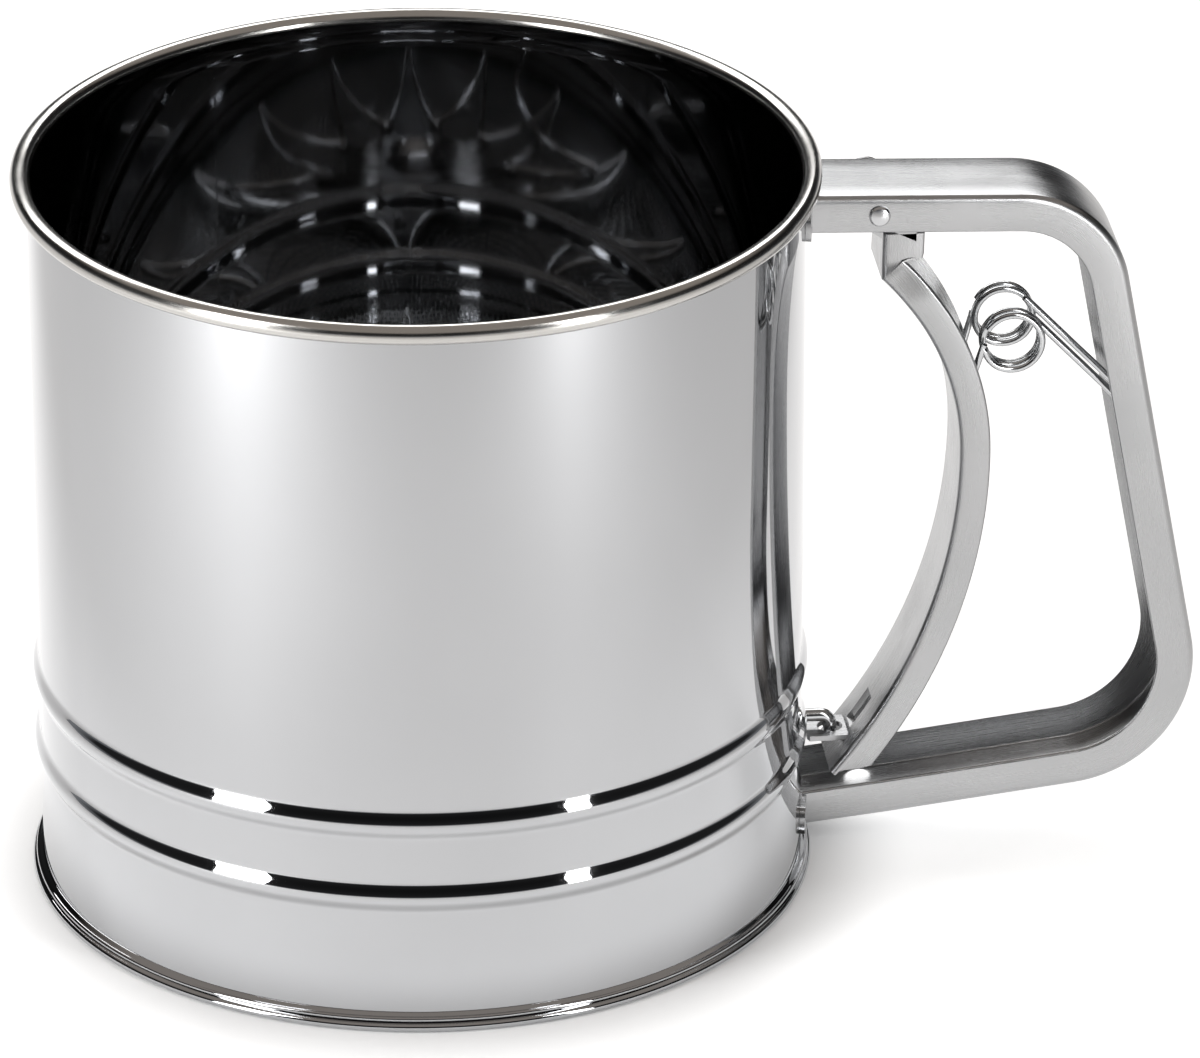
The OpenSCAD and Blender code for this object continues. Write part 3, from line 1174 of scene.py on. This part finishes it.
# Two narrow softboxes stand in front of the drum, left and right; a broad one hangs behind.
SOFTBOXES = (Softbox("left", (-0.25, -0.18, 0.15), (0.09, 0.29), 0.75),
             Softbox("right", (0.17, -0.23, 0.14), (0.035, 0.27), 0.32),
             Softbox("back", (-0.05, 0.9, 0.8), (1.2, 0.5), 7, (0.02, 0.2, 0.0)))


@dataclass
class Table:
    """A pale table that glows, with a painted shadow under the drum and a painted falloff of its light
    outside an oval; in metres.
    """

    x: Flat = (-1.2, 1.4)
    y: Flat = (-1.2, 2.5)
    z: float = -1e-4
    colour: str = "f0f0f0"
    roughness: float = 0.7
    specular: float = 0.1
    # The glow is painted light; outside the oval only far_share of it is left, a painted falloff.
    glow: float = 0.6
    far_share: float = 0.5
    # Painted shadow under the drum: no glow inside shade's first radius, full glow past its second.
    shade: Flat = (0.046, 0.066)
    oval_shift: Point = (-0.14, -0.6, 0)
    oval_size: Flat = (0.17, 0.38)
    oval_edge: Flat = (0.7, 1.1)

    def _material(self) -> bpy.types.Material:
        """Makes the table's material.

        Returns:
            The material, its painted glow set by distance from the drum: a painted shadow under it and
            a painted falloff of light outside an oval.
        """
        mat = bpy.data.materials.new("table")
        mat.use_nodes = True
        tree = mat.node_tree
        shader = tree.nodes["Principled BSDF"]
        where = add_node(tree, "ShaderNodeTexCoord").outputs["Object"]
        near = add_node(tree, "ShaderNodeVectorMath", {"operation": "LENGTH"}, {"0": where})
        # Painted shadow: the glow drops to zero under the drum.
        under = add_node(
            tree, "ShaderNodeMapRange",
            {"interpolation_type": "SMOOTHSTEP", "in:From Min": self.shade[0],
             "in:From Max": self.shade[1]},
            {"Value": near.outputs["Value"]})
        scale = (1 / self.oval_size[0], 1 / self.oval_size[1], 1)
        oval = add_node(tree, "ShaderNodeMapping",
                        {"in:Location": self.oval_shift, "in:Scale": scale}, {"Vector": where})
        far = add_node(tree, "ShaderNodeVectorMath", {"operation": "LENGTH"},
                       {"0": oval.outputs[0]})
        # Painted falloff of light: the glow drops to far_share outside the oval.
        fade = add_node(
            tree, "ShaderNodeMapRange",
            {"interpolation_type": "SMOOTHSTEP", "in:From Min": self.oval_edge[0],
             "in:From Max": self.oval_edge[1], "in:To Min": self.glow,
             "in:To Max": self.glow * self.far_share},
            {"Value": far.outputs["Value"]})
        both = add_node(tree, "ShaderNodeMath", {"operation": "MULTIPLY"},
                        {"0": under.outputs[0], "1": fade.outputs[0]})
        tree.links.new(both.outputs[0], shader.inputs["Emission Strength"])
        shader.inputs["Base Color"].default_value = linear(self.colour)
        shader.inputs["Roughness"].default_value = self.roughness
        shader.inputs["Specular IOR Level"].default_value = self.specular
        shader.inputs["Emission Color"].default_value = linear("ffffff")
        return mat

    def build(self) -> None:
        """Lays the table."""
        mesh = bpy.data.meshes.new("table")
        (left, right), (front, back) = self.x, self.y
        corners = ((left, front), (right, front), (right, back), (left, back))
        mesh.from_pydata([(x, y, self.z) for x, y in corners], [], [(0, 1, 2, 3)])
        made = bpy.data.objects.new("table", mesh)
        bpy.context.scene.collection.objects.link(made)
        mesh.materials.append(self._material())


@dataclass
class Studio:
    """The table, the room, the softboxes and the camera; lengths in metres.

    The camera stands distance away from the point it aims at. The target gives
    that point's way to the camera's right of the drum's axis, and its height.
    The room's colours go by height, from the horizon and below at 0 to straight
    up at 1.
    """

    azimuth: float = -6.5
    pitch: float = 25.7
    distance: float = 1.23758
    target: Flat = (0.02351, 0.04668)
    lens: float = 285.1
    sensor: float = 36.0
    room: tuple[tuple[float, str], ...] = (
        (0.0, "8e9093"), (0.07, "2c2c2d"), (0.5, "111111"), (0.7, "9c958f"))

    def _world(self) -> None:
        """Sets a room that is grey at the horizon, dark above it and warm grey overhead."""
        world = bpy.data.worlds.new("room")
        bpy.context.scene.world = world
        world.use_nodes = True
        tree = world.node_tree
        where = add_node(tree, "ShaderNodeTexCoord").outputs["Generated"]
        split = add_node(tree, "ShaderNodeSeparateXYZ", {}, {"0": where})
        ramp = add_node(tree, "ShaderNodeValToRGB", {}, {"0": split.outputs[2]})
        for _ in self.room[2:]:
            ramp.color_ramp.elements.new(0.5)
        for element, (height, colour) in zip(ramp.color_ramp.elements, self.room):
            element.position = height
            element.color = linear(colour)
        back = tree.nodes["Background"]
        tree.links.new(ramp.outputs[0], back.inputs[0])
        back.inputs[1].default_value = 1.0

    def _camera(self) -> None:
        """Stands the camera at its azimuth and pitch."""
        turn, pitch = math.radians(-self.azimuth), math.radians(self.pitch)
        flat = Vector((self.target[0], -self.distance * math.cos(pitch)))
        x = flat.x * math.cos(turn) + flat.y * math.sin(turn)
        y = -flat.x * math.sin(turn) + flat.y * math.cos(turn)
        data = bpy.data.cameras.new("camera")
        data.lens, data.sensor_width = self.lens, self.sensor
        camera = bpy.data.objects.new("camera", data)
        camera.location = (x, y, self.target[1] + self.distance * math.sin(pitch))
        camera.rotation_euler = (math.pi / 2 - pitch, 0, -turn)
        bpy.context.scene.collection.objects.link(camera)
        bpy.context.scene.camera = camera

    def build(self) -> None:
        """Builds the studio and the camera."""
        bpy.context.scene.view_settings.view_transform = "Standard"
        Table().build()
        self._world()
        for softbox in SOFTBOXES:
            softbox.hang()
        self._camera()


def main() -> None:
    """Builds every piece in order, then the studio."""
    logging.basicConfig(level=logging.INFO, format="%(message)s")
    dress_cad()
    for part in (Drum(), Screen(), Agitator(), DriveLink(), Handle(), Trigger(), Pin(), Spring(),
                 Studio()):
        part.build()
        LOG.info("built %s", type(part).__name__)


if __name__ == "__main__":
    main()
